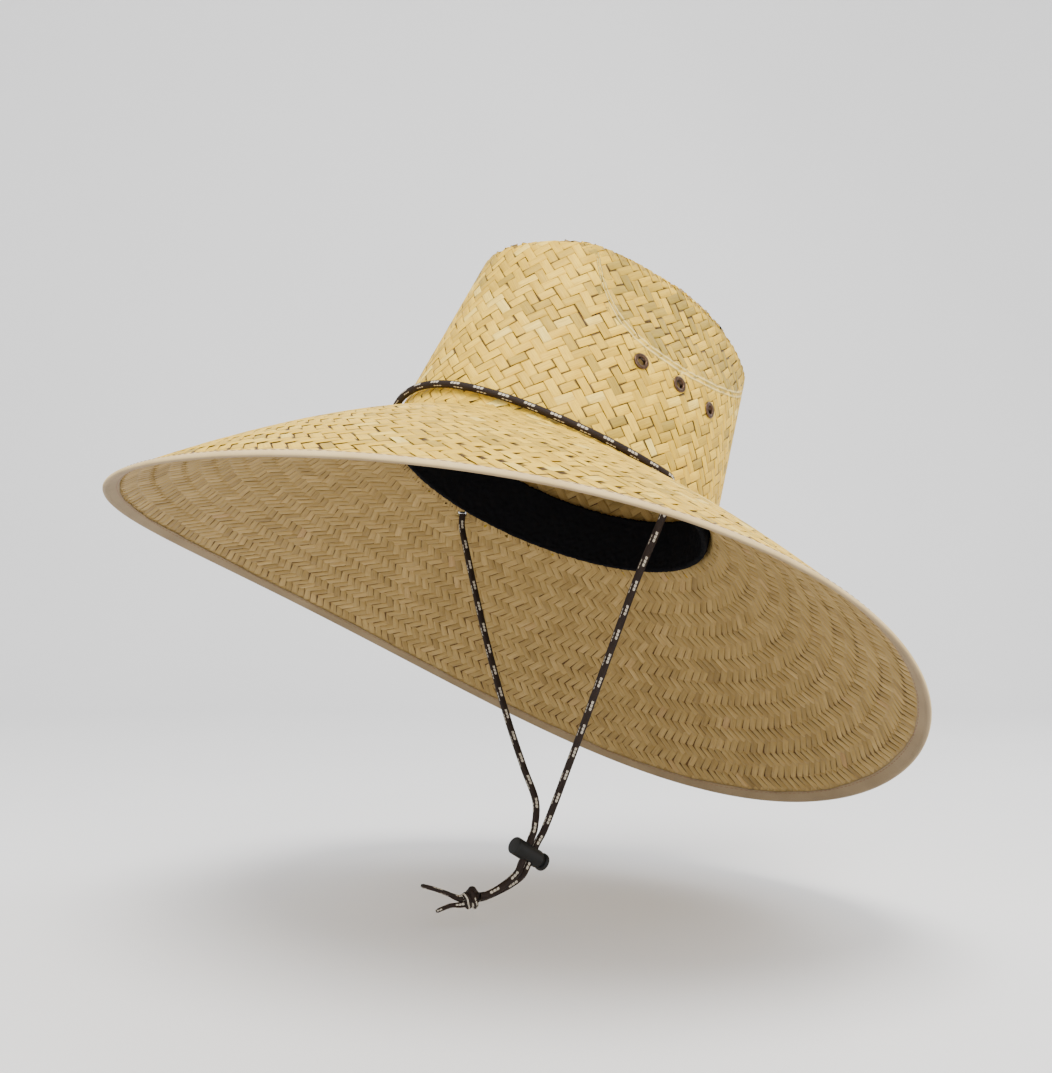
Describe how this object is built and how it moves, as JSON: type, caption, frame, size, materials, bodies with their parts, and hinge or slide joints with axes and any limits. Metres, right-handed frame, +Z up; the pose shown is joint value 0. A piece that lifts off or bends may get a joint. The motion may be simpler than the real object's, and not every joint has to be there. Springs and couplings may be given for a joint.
{
  "type": "straw hat",
  "caption": "Wide-brimmed woven straw hat with a dented crown, bound edge, crown eyelets, inner sweatband and a braided chin cord drawn up by a sprung cord lock.",
  "frame": {"origin": "middle of the head opening, where the crown meets the brim", "axes": "as worn, tipped back 23 degrees: +Z up, -Y the way the front looks, +X the wearer's left"},
  "size_m": [0.4408, 0.4092, 0.3593],
  "materials": {
    "woven_palm_straw": "matte woven straw",
    "edge_tape": "matte woven tape",
    "black_terry": "looped terry",
    "dark_bronze": "darkened satin metal",
    "braided_cord": "braided polyester with light flecks",
    "black_plastic": "satin moulded"
  },
  "bodies": {
    "hat": {"straw_crown": "woven_palm_straw", "straw_brim": "woven_palm_straw", "edge_tape": "edge_tape", "sweatband": "black_terry", "eyelet_left_front": "dark_bronze", "eyelet_left_middle": "dark_bronze", "eyelet_left_back": "dark_bronze", "eyelet_right_front": "dark_bronze", "eyelet_right_middle": "dark_bronze", "eyelet_right_back": "dark_bronze", "band_cord": "braided_cord", "chin_cord_left": "braided_cord", "chin_cord_right": "braided_cord", "lock_barrel": "black_plastic", "end_knot": "braided_cord", "cut_end_long": "braided_cord", "cut_end_short": "braided_cord"},
    "lock_button": {"lock_button": "black_plastic"}
  },
  "joints": [
    {"name": "button_slide", "type": "slide", "parent": "hat", "child": "lock_button", "axis": [0, -0.8616, 0.5075], "range_m": [0, 0.002], "stiffness_N_per_m": 800}
  ]
}
